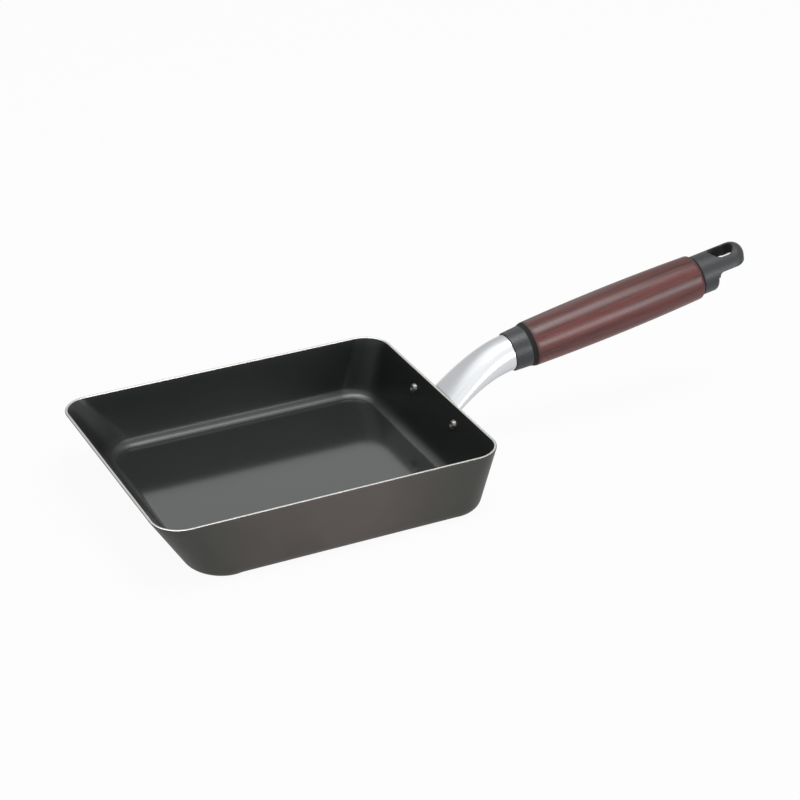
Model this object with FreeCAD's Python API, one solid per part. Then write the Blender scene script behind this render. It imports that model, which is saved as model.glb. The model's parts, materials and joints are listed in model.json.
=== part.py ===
import FreeCAD, Part
import math
import os

# Rolled-omelette pan: a rectangular pressed aluminium pan with a riveted cast bracket
# and a turned wooden handle that one long screw clamps between a ferrule and an end cap.
# Millimetres. +X points along the handle, +Z up, origin on the base under the rim's centre.

# Pan body
rim_length = 187.5
rim_width = 151.2
pan_height = 35.0
wall_thickness = 1.4
front_wall_draft = 31.75
handle_wall_draft = 13.0
side_wall_draft = 1.95
rim_corner_radius = 15.5
front_base_corner_radius = 22.0
handle_base_corner_radius = 19.0
base_edge_radius = 7.2
rim_edge_radius = 0.5

# Rivets that hold the bracket to the pan's handle wall
rivet_spacing = 46.0
rivet_drop = 9.9
rivet_shank_diameter = 4.0
rivet_head_diameter = 5.6
rivet_head_height = 2.2
rivet_dimple_diameter = 3.0
rivet_dimple_depth = 0.8
rivet_tail_diameter = 6.4
rivet_tail_height = 1.5
rivet_clearance = 0.05

# Handle bracket: flange on the wall, curved neck, keyed spigot
flange_ear_radius = 5.5
flange_lobe_radius = 9.0
flange_lobe_drop = 9.5
flange_thickness = 2.5
flange_edge_radius = 0.8
neck_root_drop = 14.1
neck_root_angle = 45.0
neck_root_width = 27.4
neck_root_thickness = 11.0
neck_root_flare = 4.0
neck_flare_power = 12
neck_end_diameter = 19.8
neck_section_count = 13
spigot_diameter = 13.0
spigot_length = 6.0
spigot_flat_depth = 1.4

# Handle axis: where it starts, measured from the rim's handle edge, and its slope
handle_reach = 40.8
handle_rise = 12.75
handle_angle = 10.0

# Ferrule
ferrule_front_diameter = 21.6
ferrule_rear_diameter = 22.8
ferrule_sleeve_length = 9.4
ferrule_lip_length = 2.4
ferrule_lip_diameter = 24.5
ferrule_socket_depth = 4.0

# Wooden grip
grip_length = 105.7
grip_front_diameter = 24.7
grip_belly_diameter = 26.8
grip_belly_station = 51.6
grip_rear_diameter = 25.0
grip_front_edge_radius = 0.6
grip_rear_edge_radius = 2.0
grip_bore_diameter = 6.6

# Keyed tenons of the ferrule and the cap, which sit in mortises in the wood
tenon_diameter = 15.0
tenon_flat_depth = 1.4
ferrule_tenon_length = 6.0
cap_tenon_length = 8.0

# End cap with its hanging tang
cap_diameter = 22.2
cap_body_length = 10.4
cap_step_edge_radius = 2.0
tang_length = 20.5
tang_floor_height = 2.8
tang_root_radius = 2.5
tang_tip_edge_radius = 5.0
hang_slot_length = 14.0
hang_slot_width = 10.8
hang_slot_offset = 0.5
hang_slot_edge_radius = 0.7

# Tie screw and its washers
screw_diameter = 5.0
screw_hole_diameter = 5.5
screw_thread_engagement = 14.0
screw_tip_gap = 1.0
screw_tip_chamfer = 0.6
screw_head_diameter = 9.0
screw_head_height = 3.3
driver_slot_length = 5.2
driver_slot_width = 1.1
driver_slot_depth = 1.7
flat_washer_diameter = 10.0
flat_washer_thickness = 1.0
spring_washer_diameter = 9.2
spring_washer_thickness = 1.3
spring_washer_gap = 0.8
washer_bore_diameter = 5.3
head_recess_clearance = 0.4

# Clearances
thread_clearance = 0.05
socket_clearance = 0.1
tenon_end_gap = 0.3

# Length that carries a cutting solid clear of what it cuts, the slack for telling places apart
# and the number of points that stand for an edge
overcut = 5.0
tolerance = 0.001
edge_point_count = 5


def vector(x, y, z):
    return FreeCAD.Vector(x, y, z)


def rod(diameter, start, end):
    """Cylinder along the X axis between two stations."""
    return Part.makeCylinder(diameter / 2, end - start, vector(start, 0, 0), vector(1, 0, 0))


def turned(edges):
    """Solid turned about the X axis from a closed outline in the XZ plane."""
    face = Part.Face(Part.Wire(edges))
    return face.revolve(vector(0, 0, 0), vector(1, 0, 0), 360)


def line(start, end):
    return Part.LineSegment(start, end).toShape()


def arc(start, middle, end):
    return Part.Arc(start, middle, end).toShape()


def corner_arc(centre, radius, start_degrees, end_degrees):
    """Arc in the XZ plane about a centre, from one angle to another."""
    points = []
    for degrees in (start_degrees, (start_degrees + end_degrees) / 2, end_degrees):
        angle = math.radians(degrees)
        points.append(centre + vector(math.cos(angle), 0, math.sin(angle)) * radius)
    return arc(*points)


def keyed_rod(diameter, flat_depth, start, end):
    """Cylinder along X with one flat on each side, which stops it turning in its socket."""
    width = diameter - 2 * flat_depth
    keeper = Part.makeBox(end - start, width, diameter, vector(start, -width / 2, -diameter / 2))
    return rod(diameter, start, end).common(keeper)


def handle_wall_x(height):
    """X of the handle wall's outer face at a height above the base."""
    return rim_length / 2 - (pan_height - height) * math.tan(math.radians(handle_wall_draft))


# Stations along the handle, measured from the ferrule's front edge
grip_front = ferrule_sleeve_length + ferrule_lip_length
grip_rear = grip_front + grip_length
cap_step = grip_rear + cap_body_length
tang_tip = cap_step + tang_length
spigot_end = ferrule_socket_depth + spigot_length
recess_depth = flat_washer_thickness + spring_washer_thickness + screw_head_height
recess_floor = cap_step - recess_depth
screw_tip = spigot_end - screw_thread_engagement

# Places of the handle's own frame and of the rivet line's frame on the handle wall
handle_start = vector(rim_length / 2 + handle_reach, 0, pan_height + handle_rise)
handle_place = FreeCAD.Placement(handle_start, FreeCAD.Rotation(vector(0, 1, 0), -handle_angle))
rivet_height = pan_height - rivet_drop
rivet_line = vector(handle_wall_x(rivet_height), 0, rivet_height)
wall_place = FreeCAD.Placement(rivet_line, FreeCAD.Rotation(vector(0, 1, 0), handle_wall_draft))


def pan_outline(height, inset):
    """Rounded rectangle through the pan's walls at one height, inset square to each wall."""
    drop = pan_height - height

    def wall_offset(draft):
        angle = math.radians(draft)
        return drop * math.tan(angle) + inset / math.cos(angle)

    front = -rim_length / 2 + wall_offset(front_wall_draft)
    rear = rim_length / 2 - wall_offset(handle_wall_draft)
    side = rim_width / 2 - wall_offset(side_wall_draft)
    share = drop / pan_height
    front_radius = rim_corner_radius + share * (front_base_corner_radius - rim_corner_radius) - inset
    rear_radius = rim_corner_radius + share * (handle_base_corner_radius - rim_corner_radius) - inset
    corners = [(rear, side, rear_radius, 0), (front, side, front_radius, 90),
               (front, -side, front_radius, 180), (rear, -side, rear_radius, 270)]
    arcs = []
    for x, y, radius, start in corners:
        centre = vector(x - math.copysign(radius, x), y - math.copysign(radius, y), height)
        points = []
        for turn in (0, 45, 90):
            angle = math.radians(start + turn)
            points.append(centre + vector(math.cos(angle), math.sin(angle), 0) * radius)
        arcs.append(points)
    edges = []
    for number, points in enumerate(arcs):
        edges.append(arc(*points))
        edges.append(line(points[-1], arcs[(number + 1) % len(arcs)][0]))
    return Part.Wire(edges)


def edges_at(shape, height):
    """Edges of a shape that lie wholly in the level plane at a height."""
    found = []
    for edge in shape.Edges:
        box = edge.BoundBox
        if abs(box.ZMin - height) < tolerance and abs(box.ZMax - height) < tolerance:
            found.append(edge)
    return found


def pan_block(floor, ceiling, inset, edge_radius):
    """Solid with the pan's drafted walls and a rounded bottom edge."""
    block = Part.makeLoft([pan_outline(floor, inset), pan_outline(ceiling, inset)], True, True)
    return block.makeFillet(edge_radius, edges_at(block, floor))


def make_pan_body():
    """Pressed pan: walls of even thickness, rounded rim edges and the two rivet holes."""
    outside = pan_block(0, pan_height, 0, base_edge_radius)
    inside_radius = base_edge_radius - wall_thickness
    inside = pan_block(wall_thickness, pan_height + overcut, wall_thickness, inside_radius)
    body = outside.cut(inside)
    body = body.makeFillet(rim_edge_radius, edges_at(body, pan_height))
    return body.cut(rivet_holes())


def rivet_sides():
    """Distances of the two rivets from the middle plane, by name."""
    return {"left": rivet_spacing / 2, "right": -rivet_spacing / 2}


def rivet_holes():
    """Cutting rods for the rivet holes through wall and flange."""
    rods = []
    for side in rivet_sides().values():
        hole = rod(rivet_shank_diameter + 2 * rivet_clearance, -overcut, overcut)
        hole.translate(vector(0, side, 0))
        hole.Placement = wall_place.multiply(hole.Placement)
        rods.append(hole)
    return rods


def dome_point(base, height, radius, share):
    """Point on a shallow dome, given the share of its radius; a negative height points to -X."""
    sphere = (radius ** 2 + height ** 2) / (2 * height)
    distance = radius * share
    drop = abs(sphere) - math.sqrt(sphere ** 2 - distance ** 2)
    return vector(base + height - math.copysign(drop, height), 0, distance)


def make_rivet(side):
    """Rivet with a dimpled dome inside the pan and a formed tail on the bracket's flange."""
    shank_radius = rivet_shank_diameter / 2
    inner_face = -wall_thickness
    dimple_share = rivet_dimple_diameter / rivet_head_diameter
    head = []
    for share in (dimple_share, (1 + dimple_share) / 2, 1):
        head.append(dome_point(inner_face, -rivet_head_height, rivet_head_diameter / 2, share))
    tail = []
    for share in (1, 0.5, 0):
        tail.append(dome_point(flange_thickness, rivet_tail_height, rivet_tail_diameter / 2, share))
    dimple_bottom = vector(head[0].x + rivet_dimple_depth, 0, 0)
    shank_start = vector(inner_face, 0, shank_radius)
    shank_end = vector(flange_thickness, 0, shank_radius)
    rivet = turned([
        line(dimple_bottom, head[0]),
        arc(*head),
        line(head[-1], shank_start),
        line(shank_start, shank_end),
        line(shank_end, tail[0]),
        arc(*tail),
        line(tail[-1], dimple_bottom),
    ])
    rivet.translate(vector(0, side, 0))
    rivet.Placement = wall_place.multiply(rivet.Placement)
    return rivet


def make_flange():
    """Three-lobed plate on the handle wall: an ear round each rivet and a lobe under the neck."""
    ear_offset = rivet_spacing / 2
    rise = flange_lobe_drop
    span = math.hypot(ear_offset, rise)
    tilt = math.atan2(rise, ear_offset) - math.acos((flange_lobe_radius - flange_ear_radius) / span)
    tangent = vector(0, math.cos(tilt), math.sin(tilt))
    mirrored = vector(0, -tangent.y, tangent.z)
    up = vector(0, 0, 1)
    left_ear = vector(0, ear_offset, 0)
    right_ear = vector(0, -ear_offset, 0)
    lobe = vector(0, 0, -flange_lobe_drop)
    ear_side = (tangent + up).normalize()
    ear_left = arc(left_ear + tangent * flange_ear_radius, left_ear + ear_side * flange_ear_radius,
                   left_ear + up * flange_ear_radius)
    top = line(left_ear + up * flange_ear_radius, right_ear + up * flange_ear_radius)
    mirrored_side = vector(0, -ear_side.y, ear_side.z)
    ear_right = arc(right_ear + up * flange_ear_radius, right_ear + mirrored_side * flange_ear_radius,
                    right_ear + mirrored * flange_ear_radius)
    side_right = line(right_ear + mirrored * flange_ear_radius, lobe + mirrored * flange_lobe_radius)
    bottom = arc(lobe + mirrored * flange_lobe_radius, lobe - up * flange_lobe_radius,
                 lobe + tangent * flange_lobe_radius)
    side_left = line(lobe + tangent * flange_lobe_radius, left_ear + tangent * flange_ear_radius)
    outline = Part.Wire([ear_left, top, ear_right, side_right, bottom, side_left])
    plate = Part.Face(outline).extrude(vector(flange_thickness, 0, 0))
    front_edges = [edge for edge in plate.Edges if edge.BoundBox.XMin > flange_thickness / 2]
    plate = plate.makeFillet(flange_edge_radius, front_edges)
    plate.Placement = wall_place
    return plate


def neck_path():
    """Start, control and end point of the neck's centre line, a quadratic curve."""
    root_height = pan_height - neck_root_drop
    start = vector(handle_wall_x(root_height), 0, root_height)
    root_angle = math.radians(neck_root_angle)
    end_angle = math.radians(handle_angle)
    chord = handle_start - start
    reach = chord.x * math.sin(end_angle) - chord.z * math.cos(end_angle)
    reach = reach / math.sin(end_angle - root_angle)
    control = start + vector(math.cos(root_angle), 0, math.sin(root_angle)) * reach
    return start, control, handle_start


def neck_section(centre, direction, width, thickness):
    """Ellipse square to the neck's centre line, its width along Y."""
    ellipse = Part.Ellipse(vector(0, 0, 0), width / 2, thickness / 2).toShape()
    rise = math.degrees(math.atan2(direction.z, direction.x))
    level = FreeCAD.Rotation(vector(0, 1, 0), vector(0, 0, 1), vector(1, 0, 0))
    tilt = FreeCAD.Rotation(vector(0, 1, 0), -rise)
    ellipse.Placement = FreeCAD.Placement(centre, tilt.multiply(level))
    return Part.Wire(ellipse)


def make_neck():
    """Curved neck that eases from a flat oval at the wall to a round end at the ferrule."""
    start, control, end = neck_path()
    sections = []
    for number in range(neck_section_count):
        share = number / (neck_section_count - 1)
        centre = start * (1 - share) ** 2 + control * (2 * share * (1 - share)) + end * share ** 2
        direction = (control - start) * (1 - share) + (end - control) * share
        ease = share ** 2 * (3 - 2 * share)
        width = neck_root_width + (neck_end_diameter - neck_root_width) * ease
        width = width + neck_root_flare * (1 - share) ** neck_flare_power
        thickness = neck_root_thickness + (neck_end_diameter - neck_root_thickness) * ease
        sections.append(neck_section(centre, direction, width, thickness))
    curved = Part.makeLoft(sections, True, False)
    run_back = (start - control).normalize() * neck_root_width
    straight = Part.Face(sections[0]).extrude(run_back)
    pan_side = Part.makeBox(rim_length, rim_width, 2 * rim_width,
                            vector(-rim_length, -rim_width / 2, -rim_width))
    pan_side.Placement = wall_place
    return curved.fuse(straight).cut(pan_side)


def make_handle_bracket():
    """Cast bracket: flange, neck, round end in the ferrule's socket, keyed and tapped spigot."""
    end = rod(neck_end_diameter, 0, ferrule_socket_depth)
    spigot = keyed_rod(spigot_diameter, spigot_flat_depth, 0, spigot_end)
    end_piece = end.fuse(spigot)
    end_piece.Placement = handle_place
    bracket = make_neck().fuse([end_piece, make_flange()]).removeSplitter()
    tapping = rod(screw_diameter + 2 * thread_clearance, screw_tip - screw_tip_gap, spigot_end + overcut)
    tapping.Placement = handle_place
    return bracket.cut(rivet_holes() + [tapping])


def make_ferrule():
    """Heat-resistant collar: socket for the neck, keyed hole, flared lip and rear tenon."""
    front = ferrule_front_diameter / 2
    rear = ferrule_rear_diameter / 2
    lip = ferrule_lip_diameter / 2
    corners = [vector(0, 0, 0), vector(0, 0, front), vector(ferrule_sleeve_length, 0, rear),
               vector(grip_front, 0, lip), vector(grip_front, 0, 0)]
    outline = [line(corners[i], corners[(i + 1) % len(corners)]) for i in range(len(corners))]
    tenon = keyed_rod(tenon_diameter, tenon_flat_depth, 0, grip_front + ferrule_tenon_length)
    ferrule = turned(outline).fuse(tenon).removeSplitter()
    socket = rod(neck_end_diameter + 2 * socket_clearance, -overcut, ferrule_socket_depth)
    key_hole = keyed_rod(spigot_diameter + 2 * socket_clearance, spigot_flat_depth,
                         0, spigot_end + tenon_end_gap)
    screw_hole = rod(screw_hole_diameter, 0, grip_rear)
    ferrule = ferrule.cut([socket, key_hole, screw_hole])
    ferrule.Placement = handle_place
    return ferrule


def make_wooden_grip():
    """Turned grip with a gentle belly, a through bore and a keyed mortise at each end."""
    front = grip_front_diameter / 2
    belly = grip_belly_diameter / 2
    rear = grip_rear_diameter / 2
    start = vector(grip_front, 0, front)
    end = vector(grip_rear, 0, rear)
    outline = [
        line(vector(grip_front, 0, 0), start),
        arc(start, vector(grip_front + grip_belly_station, 0, belly), end),
        line(end, vector(grip_rear, 0, 0)),
        line(vector(grip_rear, 0, 0), vector(grip_front, 0, 0)),
    ]
    grip = turned(outline)
    rims = {grip_front: grip_front_edge_radius, grip_rear: grip_rear_edge_radius}
    for station, radius in rims.items():
        rim = [edge for edge in grip.Edges if abs(edge.BoundBox.XMin - station) < tolerance
               and abs(edge.BoundBox.XMax - station) < tolerance]
        grip = grip.makeFillet(radius, rim)
    mortise_diameter = tenon_diameter + 2 * socket_clearance
    front_mortise = keyed_rod(mortise_diameter, tenon_flat_depth, grip_front - overcut,
                              grip_front + ferrule_tenon_length + tenon_end_gap)
    rear_mortise = keyed_rod(mortise_diameter, tenon_flat_depth,
                             grip_rear - cap_tenon_length - tenon_end_gap, grip_rear + overcut)
    bore = rod(grip_bore_diameter, grip_front, grip_rear)
    grip = grip.cut([front_mortise, rear_mortise, bore])
    grip.Placement = handle_place
    return grip


def make_cap_body():
    """Round body of the cap, its rear edge rounded."""
    radius = cap_diameter / 2
    edge_centre = vector(cap_step - cap_step_edge_radius, 0, radius - cap_step_edge_radius)
    outline = [
        line(vector(grip_rear, 0, 0), vector(grip_rear, 0, radius)),
        line(vector(grip_rear, 0, radius), vector(edge_centre.x, 0, radius)),
        corner_arc(edge_centre, cap_step_edge_radius, 90, 0),
        line(vector(cap_step, 0, edge_centre.z), vector(cap_step, 0, 0)),
        line(vector(cap_step, 0, 0), vector(grip_rear, 0, 0)),
    ]
    return turned(outline)


def make_tang():
    """Upper part of the cap's round, carried on past the step to a half-round tip."""
    radius = cap_diameter / 2
    top = cap_diameter
    root = tang_floor_height - tang_root_radius
    side_corner = vector(cap_step + tang_root_radius, 0, root)
    side_outline = Part.Wire([
        line(vector(grip_rear, 0, top), vector(tang_tip + overcut, 0, top)),
        line(vector(tang_tip + overcut, 0, top), vector(tang_tip + overcut, 0, tang_floor_height)),
        line(vector(tang_tip + overcut, 0, tang_floor_height), vector(side_corner.x, 0, tang_floor_height)),
        corner_arc(side_corner, tang_root_radius, 90, 180),
        line(vector(cap_step, 0, root), vector(grip_rear, 0, root)),
        line(vector(grip_rear, 0, root), vector(grip_rear, 0, top)),
    ])
    side_keeper = Part.Face(side_outline).extrude(vector(0, 2 * cap_diameter, 0))
    side_keeper.translate(vector(0, -cap_diameter, 0))
    tip_centre = tang_tip - radius
    plan_outline = Part.Wire([
        line(vector(grip_rear, radius, 0), vector(tip_centre, radius, 0)),
        arc(vector(tip_centre, radius, 0), vector(tang_tip, 0, 0), vector(tip_centre, -radius, 0)),
        line(vector(tip_centre, -radius, 0), vector(grip_rear, -radius, 0)),
        line(vector(grip_rear, -radius, 0), vector(grip_rear, radius, 0)),
    ])
    plan_keeper = Part.Face(plan_outline).extrude(vector(0, 0, cap_diameter))
    plan_keeper.translate(vector(0, 0, root - tang_root_radius))
    stock = rod(cap_diameter, grip_rear, tang_tip + overcut)
    tang = stock.common(side_keeper).common(plan_keeper).removeSplitter()
    tip_edges = [edge for edge in tang.Edges if edge.BoundBox.XMin > tip_centre
                 and edge.BoundBox.ZMax > radius / 2]
    return tang.makeFillet(tang_tip_edge_radius, tip_edges)


def cut_hang_slot(tang):
    """Tang with the oval slot straight through it, its upper edge rounded."""
    half_width = hang_slot_width / 2
    slot_start = cap_step + hang_slot_offset
    slot_end = slot_start + hang_slot_length
    front = slot_start + half_width
    rear = slot_end - half_width
    outline = Part.Wire([
        line(vector(front, half_width, 0), vector(rear, half_width, 0)),
        arc(vector(rear, half_width, 0), vector(slot_end, 0, 0), vector(rear, -half_width, 0)),
        line(vector(rear, -half_width, 0), vector(front, -half_width, 0)),
        arc(vector(front, -half_width, 0), vector(slot_start, 0, 0), vector(front, half_width, 0)),
    ])
    slotted = tang.cut(Part.Face(outline).extrude(vector(0, 0, cap_diameter)))

    def in_slot(point):
        along = slot_start - tolerance < point.x < slot_end + tolerance
        return along and abs(point.y) < half_width + tolerance

    upper_edges = []
    for edge in slotted.Edges:
        points = edge.discretize(edge_point_count)
        lowest = min(point.z for point in points)
        if all(in_slot(point) for point in points) and lowest > tang_floor_height + hang_slot_edge_radius:
            upper_edges.append(edge)
    return slotted.makeFillet(hang_slot_edge_radius, upper_edges)


def make_end_cap():
    """Cap with a front tenon, a screw recess in its step and a tang with the hanging slot."""
    tenon = keyed_rod(tenon_diameter, tenon_flat_depth, grip_rear - cap_tenon_length, cap_step - recess_depth)
    cap = make_cap_body().fuse([cut_hang_slot(make_tang()), tenon]).removeSplitter()
    screw_hole = rod(screw_hole_diameter, grip_rear - cap_tenon_length, cap_step)
    head_recess = rod(flat_washer_diameter + 2 * head_recess_clearance, recess_floor, tang_tip + overcut)
    cap = cap.cut([screw_hole, head_recess])
    cap.Placement = handle_place
    return cap


def make_tie_screw():
    """Long pan-head screw from the cap's recess to the bracket's tapped spigot."""
    radius = screw_diameter / 2
    head_radius = screw_head_diameter / 2
    seat = recess_floor + flat_washer_thickness + spring_washer_thickness
    crown = seat + screw_head_height
    tip_edge = vector(screw_tip, 0, radius - screw_tip_chamfer)
    shank_front = vector(screw_tip + screw_tip_chamfer, 0, radius)
    outline = [
        line(vector(screw_tip, 0, 0), tip_edge),
        line(tip_edge, shank_front),
        line(shank_front, vector(seat, 0, radius)),
        line(vector(seat, 0, radius), vector(seat, 0, head_radius)),
        corner_arc(vector(seat, 0, head_radius - screw_head_height), screw_head_height, 90, 0),
        line(vector(crown, 0, head_radius - screw_head_height), vector(crown, 0, 0)),
        line(vector(crown, 0, 0), vector(screw_tip, 0, 0)),
    ]
    screw = turned(outline)
    slots = []
    for quarter_turn in (0, 90):
        corner = vector(crown - driver_slot_depth, -driver_slot_length / 2, -driver_slot_width / 2)
        slot = Part.makeBox(driver_slot_depth + overcut, driver_slot_length, driver_slot_width, corner)
        slot.rotate(vector(0, 0, 0), vector(1, 0, 0), quarter_turn)
        slots.append(slot)
    screw = screw.cut(slots)
    screw.Placement = handle_place
    return screw


def make_flat_washer():
    """Plain washer on the recess floor."""
    end = recess_floor + flat_washer_thickness
    washer = rod(flat_washer_diameter, recess_floor, end).cut(rod(washer_bore_diameter, recess_floor, end))
    washer.Placement = handle_place
    return washer


def make_spring_washer():
    """Split washer, drawn tight under the screw head."""
    start = recess_floor + flat_washer_thickness
    end = start + spring_washer_thickness
    split = Part.makeBox(spring_washer_thickness, spring_washer_diameter, spring_washer_gap,
                         vector(start, 0, -spring_washer_gap / 2))
    washer = rod(spring_washer_diameter, start, end).cut([rod(washer_bore_diameter, start, end), split])
    washer.Placement = handle_place
    return washer


def main():
    pieces = {
        "pan_body": make_pan_body(),
        "handle_bracket": make_handle_bracket(),
        "ferrule": make_ferrule(),
        "wooden_grip": make_wooden_grip(),
        "end_cap": make_end_cap(),
        "tie_screw": make_tie_screw(),
        "flat_washer": make_flat_washer(),
        "spring_washer": make_spring_washer(),
    }
    for name, side in rivet_sides().items():
        pieces["rivet_" + name] = make_rivet(side)
    os.makedirs("parts", exist_ok=True)
    for node, shape in pieces.items():
        shape.exportStep(os.path.join("parts", node + ".step"))


main()
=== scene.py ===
import json
import math
import bmesh
import bpy
from mathutils import Matrix, Vector

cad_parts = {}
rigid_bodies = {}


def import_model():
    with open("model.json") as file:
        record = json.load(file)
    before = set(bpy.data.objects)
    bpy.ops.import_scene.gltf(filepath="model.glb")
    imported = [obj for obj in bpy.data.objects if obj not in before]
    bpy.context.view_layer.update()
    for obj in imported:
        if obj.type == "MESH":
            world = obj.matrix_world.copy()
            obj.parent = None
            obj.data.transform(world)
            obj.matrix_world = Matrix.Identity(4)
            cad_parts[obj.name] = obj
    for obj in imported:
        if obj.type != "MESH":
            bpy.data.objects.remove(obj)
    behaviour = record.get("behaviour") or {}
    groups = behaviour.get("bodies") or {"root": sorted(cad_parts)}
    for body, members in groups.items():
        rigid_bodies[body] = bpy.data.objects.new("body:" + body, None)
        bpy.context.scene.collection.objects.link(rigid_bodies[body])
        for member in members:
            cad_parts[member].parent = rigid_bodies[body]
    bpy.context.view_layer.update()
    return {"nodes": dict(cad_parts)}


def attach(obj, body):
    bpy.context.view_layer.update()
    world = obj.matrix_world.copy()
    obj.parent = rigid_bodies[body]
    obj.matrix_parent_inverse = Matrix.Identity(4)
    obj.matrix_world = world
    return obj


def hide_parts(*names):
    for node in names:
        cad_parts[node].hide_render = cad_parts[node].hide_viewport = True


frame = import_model()
scene = bpy.context.scene
mm = 0.001  # sizes below are in millimetres, the frame is in metres
print("frame loaded:", len(frame["nodes"]), "nodes")


def addNode(tree, kind, inputs=None, **settings):  # inputs: a socket's name or number, with a value or an output
    node = tree.nodes.new(kind)
    for name, value in settings.items():
        setattr(node, name, value)
    for socket, value in (inputs or {}).items():
        if isinstance(value, bpy.types.NodeSocket):
            tree.links.new(value, node.inputs[socket])
        else:
            node.inputs[socket].default_value = value
    return node


def hexColour(code):  # sRGB hex to linear RGBA
    shares = [int(code[i:i + 2], 16) / 255 for i in (1, 3, 5)]
    return [s / 12.92 if s <= 0.04045 else ((s + 0.055) / 1.055) ** 2.4 for s in shares] + [1.0]


def newMaterial(name, values):  # a material whose fixed values sit on the shader's own sockets
    material = bpy.data.materials.new(name)
    material.use_nodes = True
    shader = material.node_tree.nodes["Principled BSDF"]
    for label, value in values.items():
        shader.inputs[label].default_value = value
    return material, material.node_tree, shader


def linkShader(tree, shader, looks):  # the varying values, each linked to its socket
    for label, output in looks.items():
        tree.links.new(output, shader.inputs[label])


def perMm(size):  # texture scale for a pattern of this size in millimetres
    return 1 / (size * mm)


# Handle axis: where it leaves the neck, and its slope
handle = {"start": (134.55, 0.0, 47.75), "slope": math.radians(10)}

# Handle wall of the pan: its rim line and lean, and how far below the rim the rivets sit
handleWall = {"rimX": 93.75, "rimZ": 35.0, "lean": math.radians(13), "rivetDrop": 9.9}


def wallPoint(drop):  # on the outer face of the handle wall, so far below the rim
    return Vector((handleWall["rimX"] - drop * math.tan(handleWall["lean"]), 0, handleWall["rimZ"] - drop))


handlePlace = Matrix.Translation(handle["start"]) @ Matrix.Rotation(-handle["slope"], 4, "Y")
wallPlace = Matrix.Translation(wallPoint(handleWall["rivetDrop"])) @ Matrix.Rotation(handleWall["lean"], 4, "Y")
noiseLow, noiseHigh = 0.3, 0.7  # most of a noise lies between these

# Sprayed non-stick coat, inside: near-black with a random cloudy tone; smooth on the floor, roughest in the bend;
# darker up the walls, a painted shade for walls lit less than the floor
# floor is the coat's colour on the floor; wall is darker, a painted shade on the walls
nonStick = {"floor": "#2f3231", "wall": "#1a1d1c", "smooth": 0.11, "rough": 0.36, "wallSmoothing": 0.2,
            "floorTop": 1.39, "bendFoot": 1.6, "bendTop": 6.5, "wallFoot": 8.5,
            "cloud": 30.0, "cloudShare": 0.25, "grit": 0.8, "gritDepth": 0.001}
innerCoat, tree, shader = newMaterial("nonStickCoat", {"IOR": 1.6})
place = addNode(tree, "ShaderNodeTexCoord").outputs["Object"]
height = addNode(tree, "ShaderNodeSeparateXYZ", {0: place}).outputs["Z"]
# painted shade: the colour darkens with height from the floor to the foot of the walls
wallShade = addNode(tree, "ShaderNodeMapRange", {
    "Value": height, "From Min": nonStick["floorTop"] * mm, "From Max": nonStick["wallFoot"] * mm,
    "To Max": 1 - nonStick["cloudShare"]}).outputs[0]
cloud = addNode(tree, "ShaderNodeTexNoise", {
    "Vector": place, "Scale": perMm(nonStick["cloud"]), "Detail": 5.0}).outputs["Fac"]
cloudAndShade = addNode(tree, "ShaderNodeMath", {0: cloud, 1: nonStick["cloudShare"], 2: wallShade},
                 operation="MULTIPLY_ADD").outputs[0]
# random cloud tone plus painted shade up the walls
tone = addNode(tree, "ShaderNodeMix", {
    0: cloudAndShade, 6: hexColour(nonStick["floor"]), 7: hexColour(nonStick["wall"])}, data_type="RGBA").outputs[2]
rise = addNode(tree, "ShaderNodeMapRange", {
    "Value": height, "From Min": nonStick["floorTop"] * mm, "From Max": nonStick["bendFoot"] * mm}).outputs[0]
fall = addNode(tree, "ShaderNodeMapRange", {
    "Value": height, "From Min": nonStick["bendTop"] * mm, "From Max": nonStick["wallFoot"] * mm,
    "To Max": nonStick["wallSmoothing"]}).outputs[0]
bend = addNode(tree, "ShaderNodeMath", {0: rise, 1: fall}, operation="SUBTRACT").outputs[0]
gloss = addNode(tree, "ShaderNodeMapRange", {
    "Value": bend, "To Min": nonStick["smooth"], "To Max": nonStick["rough"]}).outputs[0]
grit = addNode(tree, "ShaderNodeTexNoise", {
    "Vector": place, "Scale": perMm(nonStick["grit"]), "Detail": 3.0}).outputs["Fac"]
skin = addNode(tree, "ShaderNodeBump", {
    "Strength": 0.5, "Distance": nonStick["gritDepth"] * mm, "Height": grit}).outputs[0]
linkShader(tree, shader, {"Base Color": tone, "Roughness": gloss, "Normal": skin})

# Baked heat-resistant coat, outside: dark grey with a warm brown cast in the middle of the walls, slight orange peel
bakedCoat = {"grey": "#30312c", "brown": "#4a423f", "centre": (-5.0, 0.0, 17.0), "span": 85.0, "cloud": 60.0,
             "warmFrom": 0.1, "warmTo": 0.4, "smooth": 0.36, "rough": 0.44, "peel": 1.6, "peelDepth": 0.006}
outerCoat, tree, shader = newMaterial("bakedResinCoat", {"IOR": 1.5})
place = addNode(tree, "ShaderNodeTexCoord").outputs["Object"]
cloud = addNode(tree, "ShaderNodeTexNoise", {
    "Vector": place, "Scale": perMm(bakedCoat["cloud"]), "Detail": 3.0}).outputs["Fac"]
middle = addNode(tree, "ShaderNodeMapping", {
    "Vector": place, "Location": [value * mm for value in bakedCoat["centre"]],
    "Scale": (bakedCoat["span"] * mm, 1.0, 1.0)}, vector_type="TEXTURE").outputs[0]
glow = addNode(tree, "ShaderNodeTexGradient", {"Vector": middle}, gradient_type="SPHERICAL").outputs["Fac"]
patchy = addNode(tree, "ShaderNodeMath", {0: glow, 1: cloud}, operation="MULTIPLY").outputs[0]
warmth = addNode(tree, "ShaderNodeMapRange", {
    "Value": patchy, "From Min": bakedCoat["warmFrom"], "From Max": bakedCoat["warmTo"]}).outputs[0]
tone = addNode(tree, "ShaderNodeMix", {
    0: warmth, 6: hexColour(bakedCoat["grey"]), 7: hexColour(bakedCoat["brown"])}, data_type="RGBA").outputs[2]
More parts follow.
